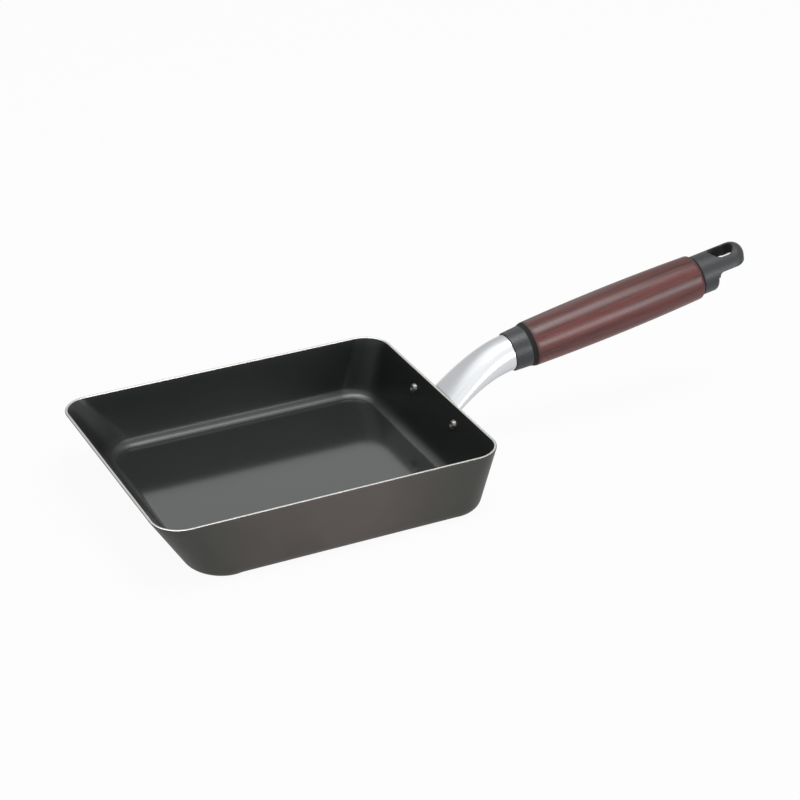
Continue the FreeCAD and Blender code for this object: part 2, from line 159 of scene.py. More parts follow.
gloss = addNode(tree, "ShaderNodeMapRange", {
    "Value": cloud, "From Min": noiseLow, "From Max": noiseHigh,
    "To Min": bakedCoat["smooth"], "To Max": bakedCoat["rough"]}).outputs[0]
peel = addNode(tree, "ShaderNodeTexNoise", {
    "Vector": place, "Scale": perMm(bakedCoat["peel"]), "Detail": 2.0}).outputs["Fac"]
skin = addNode(tree, "ShaderNodeBump", {
    "Strength": 0.5, "Distance": bakedCoat["peelDepth"] * mm, "Height": peel}).outputs[0]
linkShader(tree, shader, {"Base Color": tone, "Roughness": gloss, "Normal": skin})

# Bare aluminium of the rim, ground clean of coat: pale grey and bright, with fine scratches
bareRim = {"metal": "#cac9c6", "dull": "#bebcb9", "smooth": 0.34, "rough": 0.5, "scratch": 0.6}
rimMetal, tree, shader = newMaterial("groundAluminium", {"Metallic": 1.0})
place = addNode(tree, "ShaderNodeTexCoord").outputs["Object"]
scratch = addNode(tree, "ShaderNodeTexNoise", {
    "Vector": place, "Scale": perMm(bareRim["scratch"]), "Detail": 4.0}).outputs["Fac"]
tone = addNode(tree, "ShaderNodeMix", {
    0: scratch, 6: hexColour(bareRim["metal"]), 7: hexColour(bareRim["dull"])}, data_type="RGBA").outputs[2]
gloss = addNode(tree, "ShaderNodeMapRange", {
    "Value": scratch, "To Min": bareRim["smooth"], "To Max": bareRim["rough"]}).outputs[0]
linkShader(tree, shader, {"Base Color": tone, "Roughness": gloss})

# Buffed aluminium casting of the neck: white metal, soft mirror, polishing lines that follow the bend
buffed = {"metal": "#ebedf0", "shade": "#e0e3e7", "smooth": 0.16, "rough": 0.22,
          "lineWidth": 1.2, "lineLength": 40.0, "lineDepth": 0.001}
castMetal, tree, shader = newMaterial("buffedAluminium", {"Metallic": 1.0})
place = addNode(tree, "ShaderNodeAttribute", attribute_name="buffing").outputs["Vector"]
across, along = perMm(buffed["lineWidth"]), perMm(buffed["lineLength"])
drawn = addNode(tree, "ShaderNodeMapping", {"Vector": place, "Scale": (across, across, along)}).outputs[0]
lines = addNode(tree, "ShaderNodeTexNoise", {"Vector": drawn, "Scale": 1.0, "Detail": 4.0}).outputs["Fac"]
tone = addNode(tree, "ShaderNodeMix", {
    0: lines, 6: hexColour(buffed["metal"]), 7: hexColour(buffed["shade"])}, data_type="RGBA").outputs[2]
gloss = addNode(tree, "ShaderNodeMapRange", {
    "Value": lines, "From Min": noiseLow, "From Max": noiseHigh,
    "To Min": buffed["smooth"], "To Max": buffed["rough"]}).outputs[0]
skin = addNode(tree, "ShaderNodeBump", {
    "Strength": 0.4, "Distance": buffed["lineDepth"] * mm, "Height": lines}).outputs[0]
linkShader(tree, shader, {"Base Color": tone, "Roughness": gloss, "Normal": skin})

# Aluminium of the rivets: grey satin, dented by the setting punch
struck = {"metal": "#85837f", "dark": "#5f5d5a", "smooth": 0.28, "rough": 0.46, "dent": 0.7, "dentDepth": 0.02}
rivetMetal, tree, shader = newMaterial("satinAluminium", {"Metallic": 1.0})
place = addNode(tree, "ShaderNodeTexCoord").outputs["Object"]
dent = addNode(tree, "ShaderNodeTexNoise", {
    "Vector": place, "Scale": perMm(struck["dent"]), "Detail": 3.0}).outputs["Fac"]
tone = addNode(tree, "ShaderNodeMix", {
    0: dent, 6: hexColour(struck["metal"]), 7: hexColour(struck["dark"])}, data_type="RGBA").outputs[2]
gloss = addNode(tree, "ShaderNodeMapRange", {
    "Value": dent, "To Min": struck["smooth"], "To Max": struck["rough"]}).outputs[0]
skin = addNode(tree, "ShaderNodeBump", {
    "Strength": 0.5, "Distance": struck["dentDepth"] * mm, "Height": dent}).outputs[0]
linkShader(tree, shader, {"Base Color": tone, "Roughness": gloss, "Normal": skin})

# Moulded phenolic of ferrule and cap: charcoal satin, paler filler specks; painted shade at both joints and in the
# slot, near-black there, and matt
moulded = {"base": "#272a2c", "pale": "#303234", "paintedShade": "#0d0d0e", "smooth": 0.36, "rough": 0.46, "mattRough": 0.9,
           "speck": 1.4, "spark": 0.5, "sparkDepth": 0.012, "lipStation": 10.7, "lipHalf": 1.2,
           "jointStation": 117.8, "jointHalf": 0.6,
           "slotStation": 135.4, "slotHalf": (7.0, 5.4), "slotReach": 1.3, "slotEdgeFrom": 0.14, "slotEdgeTo": 0.2}
phenolic, tree, shader = newMaterial("mouldedPhenolic", {"IOR": 1.48})
place = addNode(tree, "ShaderNodeTexCoord").outputs["Object"]
speck = addNode(tree, "ShaderNodeTexNoise", {
    "Vector": place, "Scale": perMm(moulded["speck"]), "Detail": 5.0}).outputs["Fac"]
tone = addNode(tree, "ShaderNodeMix", {
    0: speck, 6: hexColour(moulded["base"]), 7: hexColour(moulded["pale"])}, data_type="RGBA").outputs[2]
axisPlace = {"Location": [value * mm for value in handle["start"]], "Rotation": (0, -handle["slope"], 0)}
axisPoint = addNode(tree, "ShaderNodeMapping", {"Vector": place, **axisPlace}, vector_type="TEXTURE").outputs[0]
station = addNode(tree, "ShaderNodeSeparateXYZ", {0: axisPoint}).outputs["X"]
# painted shade: masks for the shaded ring under the lip and the joint with the grip
underLip = addNode(tree, "ShaderNodeMath", {
    0: station, 1: moulded["lipStation"] * mm, 2: moulded["lipHalf"] * mm}, operation="COMPARE").outputs[0]
atJoint = addNode(tree, "ShaderNodeMath", {
    0: station, 1: moulded["jointStation"] * mm, 2: moulded["jointHalf"] * mm}, operation="COMPARE").outputs[0]
rings = addNode(tree, "ShaderNodeMath", {0: underLip, 1: atJoint}, operation="MAXIMUM").outputs[0]
slotPlace = handlePlace @ Vector((moulded["slotStation"], 0, 0))
slotScale = [half * moulded["slotReach"] * mm for half in moulded["slotHalf"]] + [1.0]
slotPoint = addNode(tree, "ShaderNodeMapping", {
    "Vector": place, "Location": slotPlace * mm, "Rotation": (0, -handle["slope"], 0),
    "Scale": slotScale}, vector_type="TEXTURE").outputs[0]
hole = addNode(tree, "ShaderNodeTexGradient", {"Vector": slotPoint}, gradient_type="SPHERICAL").outputs["Fac"]
inSlot = addNode(tree, "ShaderNodeMapRange", {
    "Value": hole, "From Min": moulded["slotEdgeFrom"], "From Max": moulded["slotEdgeTo"]}).outputs[0]
recess = addNode(tree, "ShaderNodeMath", {0: rings, 1: inSlot}, operation="MAXIMUM").outputs[0]
# painted shade: near-black mixed in over the lip ring, the joint and the slot
paintedShadeTone = addNode(tree, "ShaderNodeMix", {
    0: recess, 6: tone, 7: hexColour(moulded["paintedShade"])}, data_type="RGBA").outputs[2]
satin = addNode(tree, "ShaderNodeMapRange", {
    "Value": speck, "From Min": noiseLow, "From Max": noiseHigh,
    "To Min": moulded["smooth"], "To Max": moulded["rough"]}).outputs[0]
gloss = addNode(tree, "ShaderNodeMapRange", {
    "Value": recess, "To Min": satin, "To Max": moulded["mattRough"]}).outputs[0]
spark = addNode(tree, "ShaderNodeTexNoise", {
    "Vector": place, "Scale": perMm(moulded["spark"]), "Detail": 2.0}).outputs["Fac"]
skin = addNode(tree, "ShaderNodeBump", {
    "Strength": 0.4, "Distance": moulded["sparkDepth"] * mm, "Height": spark}).outputs[0]
linkShader(tree, shader, {"Base Color": paintedShadeTone, "Roughness": gloss, "Normal": skin})

# Stained hardwood under satin lacquer: red-brown, long growth bands, fine fibres, short dark pores; dark and dull near
# both ends, the darkness a painted shade where the grip meets ferrule and cap
stained = {"deep": "#32100f", "mid": "#5a2523", "pale": "#754039", "pore": "#220b0a",
           "smooth": 0.27, "rough": 0.36, "endRough": 0.8, "middle": 64.65, "endFrom": 50.5, "endTo": 53.5,
           "bandWidth": 4.5, "bandLength": 70.0, "bandFrom": 0.35, "bandTo": 0.65, "bandShare": 1.0,
           "fibreWidth": 0.8, "fibreLength": 30.0, "fibreFrom": 0.3, "fibreTo": 0.75, "fibreShare": 0.45,
           "poreWidth": 0.45, "poreLength": 7.0, "poreFrom": 0.66, "poreTo": 0.74, "poreShare": 0.7, "poreDepth": 0.02}
wood, tree, shader = newMaterial("lacqueredHardwood", {"IOR": 1.5})
place = addNode(tree, "ShaderNodeTexCoord").outputs["Object"]
grain = addNode(tree, "ShaderNodeMapping", {"Vector": place, **axisPlace}, vector_type="TEXTURE").outputs[0]
noises, layers = {}, {}
for layer, detail in (("band", 3.0), ("fibre", 4.0), ("pore", 1.0)):
    across, along = perMm(stained[layer + "Width"]), perMm(stained[layer + "Length"])
    drawn = addNode(tree, "ShaderNodeMapping", {"Vector": grain, "Scale": (along, across, across)}).outputs[0]
    noises[layer] = addNode(tree, "ShaderNodeTexNoise", {
        "Vector": drawn, "Scale": 1.0, "Detail": detail}).outputs["Fac"]
    layers[layer] = addNode(tree, "ShaderNodeMapRange", {
        "Value": noises[layer], "From Min": stained[layer + "From"], "From Max": stained[layer + "To"],
        "To Max": stained[layer + "Share"]}).outputs[0]
growth = addNode(tree, "ShaderNodeMix", {
    0: layers["band"], 6: hexColour(stained["deep"]), 7: hexColour(stained["mid"])}, data_type="RGBA").outputs[2]
streaked = addNode(tree, "ShaderNodeMix", {
    0: layers["fibre"], 6: growth, 7: hexColour(stained["pale"])}, data_type="RGBA").outputs[2]
porous = addNode(tree, "ShaderNodeMix", {
    0: layers["pore"], 6: streaked, 7: hexColour(stained["pore"])}, data_type="RGBA").outputs[2]
station = addNode(tree, "ShaderNodeSeparateXYZ", {0: grain}).outputs["X"]
fromMiddle = addNode(tree, "ShaderNodeMath", {0: station, 1: stained["middle"] * mm}, operation="SUBTRACT").outputs[0]
distance = addNode(tree, "ShaderNodeMath", {0: fromMiddle}, operation="ABSOLUTE").outputs[0]
# painted shade: the last few millimetres at each end take the pore colour and turn dull
end = addNode(tree, "ShaderNodeMapRange", {
    "Value": distance, "From Min": stained["endFrom"] * mm, "From Max": stained["endTo"] * mm}).outputs[0]
shadedEnds = addNode(tree, "ShaderNodeMix", {
    0: end, 6: porous, 7: hexColour(stained["pore"])}, data_type="RGBA").outputs[2]
satin = addNode(tree, "ShaderNodeMapRange", {
    "Value": noises["fibre"], "From Min": noiseLow, "From Max": noiseHigh,
    "To Min": stained["smooth"], "To Max": stained["rough"]}).outputs[0]
gloss = addNode(tree, "ShaderNodeMapRange", {
    "Value": end, "To Min": satin, "To Max": stained["endRough"]}).outputs[0]
relief = addNode(tree, "ShaderNodeMath", {0: noises["fibre"], 1: layers["pore"]}, operation="SUBTRACT").outputs[0]
skin = addNode(tree, "ShaderNodeBump", {
    "Strength": 0.35, "Distance": stained["poreDepth"] * mm, "Height": relief}).outputs[0]
linkShader(tree, shader, {"Base Color": shadedEnds, "Roughness": gloss, "Normal": skin})

# Zinc-plated steel of screw and washers: bright grey, slightly blotched
plated = {"metal": "#c3c3bf", "blotch": "#a3a39d", "smooth": 0.22, "rough": 0.4, "patch": 1.8}
zincSteel, tree, shader = newMaterial("zincPlatedSteel", {"Metallic": 1.0})
place = addNode(tree, "ShaderNodeTexCoord").outputs["Object"]
patch = addNode(tree, "ShaderNodeTexNoise", {
    "Vector": place, "Scale": perMm(plated["patch"]), "Detail": 3.0}).outputs["Fac"]
tone = addNode(tree, "ShaderNodeMix", {
    0: patch, 6: hexColour(plated["metal"]), 7: hexColour(plated["blotch"])}, data_type="RGBA").outputs[2]
gloss = addNode(tree, "ShaderNodeMapRange", {
    "Value": patch, "To Min": plated["smooth"], "To Max": plated["rough"]}).outputs[0]
linkShader(tree, shader, {"Base Color": tone, "Roughness": gloss})
print("materials made:", len(bpy.data.materials))


def addShell(bm, rings, place=None, finishes=None, closed=False):  # skin over rings; closed joins the last to the first
    place = place or Matrix()
    made = [[bm.verts.new((place @ Vector(point)) * mm) for point in ring] for ring in rings]
    bands = list(zip(made, made[1:] + made[:1])) if closed else list(zip(made, made[1:]))
    for number, (lower, upper) in enumerate(bands):
        for k in range(len(lower)):
            n = (k + 1) % len(lower)
            face = bm.faces.new((lower[k], lower[n], upper[n], upper[k]))
            face.material_index = finishes[number] if finishes else 0
    if not closed:
        ends = [bm.faces.new(made[0][::-1]), bm.faces.new(made[-1])]
        for face, finish in zip(ends, (finishes[0], finishes[-1]) if finishes else (0, 0)):
            face.material_index = finish


mergeDistance = 0.0005  # points closer than this become one


def closeMesh(bm, name, sharpAngle=None):  # merge poles, face outwards, shade smooth but for sharp edges
    bmesh.ops.remove_doubles(bm, verts=bm.verts, dist=mergeDistance * mm)
    bmesh.ops.recalc_face_normals(bm, faces=bm.faces)
    mesh = bpy.data.meshes.new(name)
    bm.to_mesh(mesh)
    bm.free()
    mesh.shade_smooth()
    if sharpAngle:
        mesh.set_sharp_from_angle(angle=math.radians(sharpAngle))
    return mesh


def showPiece(name, mesh, materials, slot, *nodes):  # the finished piece rides on the part and stands for its nodes
    for material in materials:
        mesh.materials.append(material)
    piece = bpy.data.objects.new(name, mesh)
    scene.collection.objects.link(piece)
    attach(piece, "root")
    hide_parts(*nodes)
    print(name, "made:", len(mesh.polygons), "faces")
    return piece


# Pan: pressed walls that lean out, a wide round at the floor and a narrow bare rim
pan = {"rimLength": 187.5, "rimWidth": 151.2, "height": 35.0, "wall": 1.4,
       "frontDraft": 31.75, "handleDraft": 13.0, "sideDraft": 1.95,
       "rimCorner": 15.5, "frontCorner": 22.0, "handleCorner": 19.0, "baseEdge": 7.2, "rimEdge": 0.5,
       "supportLoop": 0.8, "cornerSteps": 28, "sideSteps": 12, "filletSteps": 14, "wallSteps": 6, "rimSteps": 5,
       "coatOverRim": 3}


def panOutline(height, inset):  # points round the pan at a height, each with its outward direction
    drop = pan["height"] - height
    reach = []
    for half, draft in ((pan["rimLength"] / 2, pan["handleDraft"]), (pan["rimLength"] / 2, pan["frontDraft"]),
                        (pan["rimWidth"] / 2, pan["sideDraft"])):
        lean = math.radians(draft)
        reach.append(half - drop * math.tan(lean) - inset / math.cos(lean))
    rear, front, side = reach
    share = drop / pan["height"]
    rearRadius = pan["rimCorner"] + share * (pan["handleCorner"] - pan["rimCorner"]) - inset
    frontRadius = pan["rimCorner"] + share * (pan["frontCorner"] - pan["rimCorner"]) - inset
    corners = [(rear - rearRadius, side - rearRadius, rearRadius),
               (frontRadius - front, side - frontRadius, frontRadius),
               (frontRadius - front, frontRadius - side, frontRadius),
               (rear - rearRadius, rearRadius - side, rearRadius)]
    arcs = []
    for quarter, (x, y, radius) in enumerate(corners):
        arc = []
        for step in range(pan["cornerSteps"] + 1):
            turn = math.radians(90 * (quarter + step / pan["cornerSteps"]))
            outward = Vector((math.cos(turn), math.sin(turn)))
            arc.append((Vector((x, y)) + radius * outward, outward))
        arcs.append(arc)
    outline = []
    for arc, following in zip(arcs, arcs[1:] + arcs[:1]):
        outline += arc
        (start, outward), (end, outward) = arc[-1], following[0]
        outline += [(start.lerp(end, step / pan["sideSteps"]), outward) for step in range(1, pan["sideSteps"])]
    return outline


def panSkin(floor, inset, edge, side):  # rings from the floor up to the rim's top; side is 1 outside and -1 inside
    foot, top = panOutline(floor, inset), panOutline(pan["height"], inset)
    rise, rimEdge = pan["height"] - floor, pan["rimEdge"]
    paths = []  # one path up the wall for each point of the outline
    for (base, outward), (rim, outward) in zip(foot, top):
        spread = rim - base
        slip = spread - outward * spread.dot(outward)  # sideways drift of the wall's lines at the corners
        lean = math.atan2(spread.dot(outward), rise)
        floorLine = edge * (math.sin(lean) - 1) / math.cos(lean)
        path = [(floorLine - pan["supportLoop"], floor)]
        for step in range(pan["filletSteps"] + 1):
            turn = -math.pi / 2 + (math.pi / 2 - lean) * step / pan["filletSteps"]
            path.append((floorLine + edge * math.cos(turn), floor + edge + edge * math.sin(turn)))
        tangent = -lean if side > 0 else math.pi - lean
        wallTop = pan["height"] - rimEdge + rimEdge * math.sin(tangent)
        wallFoot = path[-1][1]
        for step in range(1, pan["wallSteps"]):
            level = wallFoot + (wallTop - wallFoot) * step / pan["wallSteps"]
            path.append(((level - floor) * math.tan(lean), level))
        rimLine = (rise - rimEdge) * math.tan(lean) - side * rimEdge / math.cos(lean)
        for step in range(pan["rimSteps"] + 1):
            turn = tangent + (math.pi / 2 - tangent) * step / pan["rimSteps"]
            path.append((rimLine + rimEdge * math.cos(turn), pan["height"] - rimEdge + rimEdge * math.sin(turn)))
        paths.append([(*(base + outward * offset + slip * ((level - floor) / rise)), level) for offset, level in path])
    return [list(ring) for ring in zip(*paths)]


outside = panSkin(0.0, 0.0, pan["baseEdge"], 1)
inside = panSkin(pan["wall"], pan["wall"], pan["baseEdge"] - pan["wall"], -1)
coatBands = len(outside) - 1 - pan["rimSteps"]
bareBands = 2 * pan["rimSteps"] + 1 - pan["coatOverRim"]
finishes = [0] * (coatBands + pan["coatOverRim"]) + [1] * bareBands + [2] * coatBands
bm = bmesh.new()
addShell(bm, outside + inside[::-1], finishes=finishes)
panMesh = closeMesh(bm, "panBody")
showPiece("panBody", panMesh, (outerCoat, rimMetal, innerCoat), "coated_aluminium", "pan_body")


# Bracket: cast neck swept from the wall to the handle, on a three-lobed flange, with a soft fillet between them
bracket = {"rootDrop": 14.1, "rootAngle": math.radians(45), "rootWidth": 27.4, "rootThickness": 11.0,
           "flare": 4.0, "flarePower": 12, "endDiameter": 19.8,
           "socketDepth": 4.0, "spigotDiameter": 13.0, "spigotLength": 6.0,
           "flangeThickness": 2.5, "flangeEdge": 0.8, "earRadius": 5.5, "lobeRadius": 9.0, "lobeDrop": 9.5,
           "rivetSpacing": 46.0, "filletReach": 3.2, "filletMargin": 0.3, "uphillStep": 0.05, "buriedShare": 0.3,
           "rootSearch": (-0.6, 0.6), "halvings": 40, "around": 96, "along": 60, "arcSteps": 16, "edgeSteps": 4,
           "filletSteps": 8, "buffingSteps": 100, "sharpAngle": 40}
neckStart = wallPoint(bracket["rootDrop"])
neckEnd = Vector(handle["start"])
rootWay = Vector((math.cos(bracket["rootAngle"]), 0, math.sin(bracket["rootAngle"])))
chord = neckEnd - neckStart
acrossAxis = chord.x * math.sin(handle["slope"]) - chord.z * math.cos(handle["slope"])
neckBend = neckStart + rootWay * (acrossAxis / math.sin(handle["slope"] - bracket["rootAngle"]))


def neckCentre(share):  # centre line and its direction; below zero it runs straight back into the wall
    if share < 0:
        return neckStart + 2 * (neckBend - neckStart) * share, rootWay
    centre = neckStart * (1 - share) ** 2 + neckBend * (2 * share * (1 - share)) + neckEnd * share ** 2
    return centre, ((neckBend - neckStart) * (1 - share) + (neckEnd - neckBend) * share).normalized()


def neckPoint(share, angle):  # on the neck's surface
    centre, way = neckCentre(share)
    held = max(share, 0.0)
    ease = held ** 2 * (3 - 2 * held)
    width = bracket["rootWidth"] + (bracket["endDiameter"] - bracket["rootWidth"]) * ease
    width += bracket["flare"] * (1 - held) ** bracket["flarePower"]
    thickness = bracket["rootThickness"] + (bracket["endDiameter"] - bracket["rootThickness"]) * ease
    up = Vector((-way.z, 0, way.x))
    return centre + Vector((0, width / 2 * math.cos(angle), 0)) + up * (thickness / 2 * math.sin(angle))


wallLocal = wallPlace.inverted()


def neckRoot(angle, depth):  # share at which one line of the neck comes within this depth of the wall
    low, high = bracket["rootSearch"]
    for halving in range(bracket["halvings"]):
        middle = (low + high) / 2
        if (wallLocal @ neckPoint(middle, angle)).x < depth:
            low = middle
        else:
            high = middle
    return high


angles = [2 * math.pi * k / bracket["around"] for k in range(bracket["around"])]
roots = [neckRoot(angle, 0.0) for angle in angles]
neckRings = []
for step in range(bracket["along"] + 1):
    share = step / bracket["along"]
    neckRings.append([neckPoint(root + (1 - root) * share, angle) for root, angle in zip(roots, angles)])
spigotEnd = bracket["socketDepth"] + bracket["spigotLength"]
for station, diameter in ((bracket["socketDepth"], bracket["endDiameter"]),
                          (bracket["socketDepth"], bracket["spigotDiameter"]), (spigotEnd, bracket["spigotDiameter"])):
    ring = [Vector((station, diameter / 2 * math.cos(angle), diameter / 2 * math.sin(angle))) for angle in angles]
    neckRings.append([handlePlace @ point for point in ring])


def flangeOutline(inset):  # hull of two ears and a lobe on the wall, drawn in by an inset
    half, drop = bracket["rivetSpacing"] / 2, bracket["lobeDrop"]
    ear, lobe = bracket["earRadius"], bracket["lobeRadius"]
    tilt = math.atan2(drop, half) - math.acos((lobe - ear) / math.hypot(half, drop))
    arcs = [(half, 0.0, ear, tilt, math.pi / 2), (-half, 0.0, ear, math.pi / 2, math.pi - tilt),
            (0.0, -drop, lobe, math.pi - tilt, 2 * math.pi + tilt)]
    outline = []
    for y, z, radius, start, end in arcs:
        for step in range(bracket["arcSteps"] + 1):
            turn = start + (end - start) * step / bracket["arcSteps"]
            outline.append((y + (radius - inset) * math.cos(turn), z + (radius - inset) * math.sin(turn)))
    return outline


flangeFace, flangeEdge = bracket["flangeThickness"], bracket["flangeEdge"]
flangeRings = [[(0.0, y, z) for y, z in flangeOutline(0.0)]]
for step in range(bracket["edgeSteps"] + 1):
    turn = math.pi / 2 * step / bracket["edgeSteps"]
    level = flangeFace - flangeEdge + flangeEdge * math.sin(turn)
    flangeRings.append([(level, y, z) for y, z in flangeOutline(flangeEdge - flangeEdge * math.cos(turn))])


def flangeMargin(point):  # how far a point of the flange's face lies inside the edge of its flat
    outline = flangeOutline(flangeEdge)
    margins = []
    for (y, z), (nextY, nextZ) in zip(outline, outline[1:] + outline[:1]):
        length = math.hypot(nextY - y, nextZ - z)
        if length > 0:
            margins.append(((nextY - y) * (point.z - z) - (nextZ - z) * (point.y - y)) / length)
    return min(margins)


# Fillet: from a line on the neck over to a line on the flange, where the neck stands on it
footprint = [wallLocal @ neckPoint(neckRoot(angle, flangeFace), angle) for angle in angles]
filletRings = []
firstAngle = bracket["around"] // 4  # the neck's top line, which leaves the flange, so the fillet's ends meet there
for number in range(bracket["around"] + 1):
    k = (firstAngle + number) % bracket["around"]
    reach = min(bracket["filletReach"], flangeMargin(footprint[k]) - bracket["filletMargin"])
    if reach <= 0:
        continue
    corner = footprint[k]
    ahead, behind = footprint[(k + 1) % bracket["around"]], footprint[k - 1]
    outward = Vector((0, ahead.z - behind.z, behind.y - ahead.y)).normalized()
    root = neckRoot(angles[k], flangeFace)
    uphill = (wallLocal @ neckPoint(root + bracket["uphillStep"], angles[k]) - corner).normalized()
    start, end = corner + uphill * reach, corner + outward * reach
    section = []
    for step in range(bracket["filletSteps"] + 1):
        share = step / bracket["filletSteps"]
        section.append(start * (1 - share) ** 2 + corner * (2 * share * (1 - share)) + end * share ** 2)
    buried = Vector((-flangeFace / 2, 0, 0)) - outward * reach / 2
    underEdge = buried * bracket["buriedShare"]
    filletRings.append(section + [end + underEdge, corner + buried, start + underEdge])

bm = bmesh.new()
addShell(bm, neckRings)
addShell(bm, flangeRings, wallPlace)
addShell(bm, filletRings, wallPlace)
bracketMesh = closeMesh(bm, "handleBracket", bracket["sharpAngle"])
buffing = bracketMesh.attributes.new("buffing", "FLOAT_VECTOR", "POINT")
shares = [step / bracket["buffingSteps"] for step in range(bracket["buffingSteps"] + 1)]
samples = [neckCentre(share)[0] for share in shares]
lengths = [0.0]
for here, there in zip(samples, samples[1:]):
    lengths.append(lengths[-1] + (there - here).length)
for vertex in bracketMesh.vertices:  # polishing lines: round the neck, and along its bend
    point = vertex.co / mm
    flat = Vector((point.x, 0, point.z))
    nearest = min(range(len(samples)), key=lambda i: (samples[i] - flat).length)
    way = neckCentre(shares[nearest])[1]
    offset = flat - samples[nearest]
    height = offset.dot(Vector((-way.z, 0, way.x)))
    buffing.data[vertex.index].vector = (point.y * mm, height * mm, (lengths[nearest] + offset.dot(way)) * mm)
neck = showPiece("handleBracket", bracketMesh, (castMetal,), "polished_aluminium", "handle_bracket")


def roundedOutline(corners, steps):  # closed outline in station and radius; each corner has its rounding
    outline = []
    for number, (station, radius, rounding) in enumerate(corners):
        here = Vector((station, radius))
        before = (Vector(corners[number - 1][:2]) - here).normalized()
        after = (Vector(corners[(number + 1) % len(corners)][:2]) - here).normalized()
        if rounding == 0:
            outline.append(here)
            continue
        opening = before.angle(after)
        reach = rounding / math.tan(opening / 2)
        start, end = here + before * reach, here + after * reach
        centre = here + (before + after).normalized() * (rounding / math.sin(opening / 2))
        for step in range(steps + 1):
            ray = start.lerp(end, step / steps) - centre
            outline.append(centre + ray.normalized() * rounding)
    return outline


def turnedRings(outline, steps):  # the outline turned about the X axis, one ring for each of its points
    turns = [2 * math.pi * k / steps for k in range(steps)]
    rings = []
    for station, radius in outline:
        rings.append([(station, radius * math.cos(turn), radius * math.sin(turn)) for turn in turns])
    return rings


# Ferrule: moulded collar with a socket for the neck, a flared lip and a tenon in the wood
ferrule = {"sleeve": 9.4, "lip": 2.4, "frontRadius": 10.8, "rearRadius": 11.4, "lipRadius": 12.25,
           "socketRadius": 10.0, "socketDepth": 4.0, "keyRadius": 6.6, "keyDepth": 10.3, "holeRadius": 2.75,
           "tenonRadius": 7.5, "tenonLength": 6.0, "frontEdge": 0.3, "sleeveEdge": 1.5, "lipEdge": 0.25,
           "tenonEdge": 0.4, "socketEdge": 0.2, "edgeSteps": 6, "around": 96, "sharpAngle": 35}
lipEnd = ferrule["sleeve"] + ferrule["lip"]
tenonEnd = lipEnd + ferrule["tenonLength"]
ferruleCorners = [(0.0, ferrule["frontRadius"], ferrule["frontEdge"]),
                  (ferrule["sleeve"], ferrule["rearRadius"], ferrule["sleeveEdge"]),
                  (lipEnd, ferrule["lipRadius"], ferrule["lipEdge"]),
                  (lipEnd, ferrule["tenonRadius"], 0.0),
                  (tenonEnd, ferrule["tenonRadius"], ferrule["tenonEdge"]),
                  (tenonEnd, ferrule["holeRadius"], 0.0),
                  (ferrule["keyDepth"], ferrule["holeRadius"], 0.0),
                  (ferrule["keyDepth"], ferrule["keyRadius"], 0.0),
                  (ferrule["socketDepth"], ferrule["keyRadius"], 0.0),
                  (ferrule["socketDepth"], ferrule["socketRadius"], 0.0),
                  (0.0, ferrule["socketRadius"], ferrule["socketEdge"])]
outline = roundedOutline(ferruleCorners, ferrule["edgeSteps"])
bm = bmesh.new()
addShell(bm, turnedRings(outline, ferrule["around"]), handlePlace, closed=True)
ferruleMesh = closeMesh(bm, "ferrule", ferrule["sharpAngle"])
showPiece("collar", ferruleMesh, (phenolic,), "black_phenolic", "ferrule")


def newTree(name, sizes):  # a Geometry Nodes tree with one named input for each size
    tree = bpy.data.node_groups.new(name, "GeometryNodeTree")
    for way in ("INPUT", "OUTPUT"):
        tree.interface.new_socket(name="Geometry", in_out=way, socket_type="NodeSocketGeometry")
    kinds = {int: "NodeSocketInt", float: "NodeSocketFloat", bpy.types.Material: "NodeSocketMaterial"}
    for label, value in sizes.items():
        kind = kinds.get(type(value), "NodeSocketVector")
        tree.interface.new_socket(name=label, in_out="INPUT", socket_type=kind)
    return tree, addNode(tree, "NodeGroupInput").outputs


def endTree(tree, grown, given):  # millimetres to metres, in place on the part, instances made real, material set
    placed = addNode(tree, "GeometryNodeTransform", {
        "Geometry": grown, "Translation": given["Place"], "Rotation": given["Turn"], "Scale": (mm, mm, mm)})
    real = addNode(tree, "GeometryNodeRealizeInstances", {"Geometry": placed.outputs[0]})
    dressed = addNode(tree, "GeometryNodeSetMaterial", {"Geometry": real.outputs[0], "Material": given["Material"]})
    addNode(tree, "NodeGroupOutput", {"Geometry": dressed.outputs[0]})


def growMesh(name, tree, sizes, seedMesh=None):  # runs the tree once and keeps its result as a plain mesh
    carrier = bpy.data.objects.new(name, seedMesh or bpy.data.meshes.new(name))
    modifier = carrier.modifiers.new(tree.name, "NODES")
    modifier.node_group = tree
    for item in tree.interface.items_tree:
        if item.in_out == "INPUT" and item.name in sizes:
            modifier[item.identifier] = sizes[item.name]
    scene.collection.objects.link(carrier)
    depsgraph = bpy.context.evaluated_depsgraph_get()
    mesh = bpy.data.meshes.new_from_object(carrier.evaluated_get(depsgraph), preserve_all_data_layers=True,
                                           depsgraph=depsgraph)
    bpy.data.objects.remove(carrier)
    return mesh


